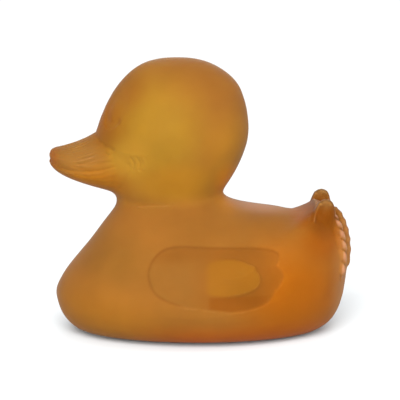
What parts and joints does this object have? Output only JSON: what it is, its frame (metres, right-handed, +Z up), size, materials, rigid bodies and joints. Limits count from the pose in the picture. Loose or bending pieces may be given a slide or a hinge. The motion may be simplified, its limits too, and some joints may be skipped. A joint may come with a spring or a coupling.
{
  "type": "rubber duck",
  "caption": "Bath duck moulded in one piece of amber natural rubber, with a round head, broad bill, sunken feathered wings, oval eyes and ridged upturned tail.",
  "frame": {"origin": "on the base plane, at the middle of the overall length and width", "axes": "+X from the bill to the tail, +Y from the duck's left side to its right side, +Z up from the base to the crown"},
  "size_m": [0.1002, 0.072, 0.091],
  "materials": {
    "rubber": "matte, slightly translucent"
  },
  "bodies": {
    "root": {"duck": "rubber"}
  },
  "joints": []
}
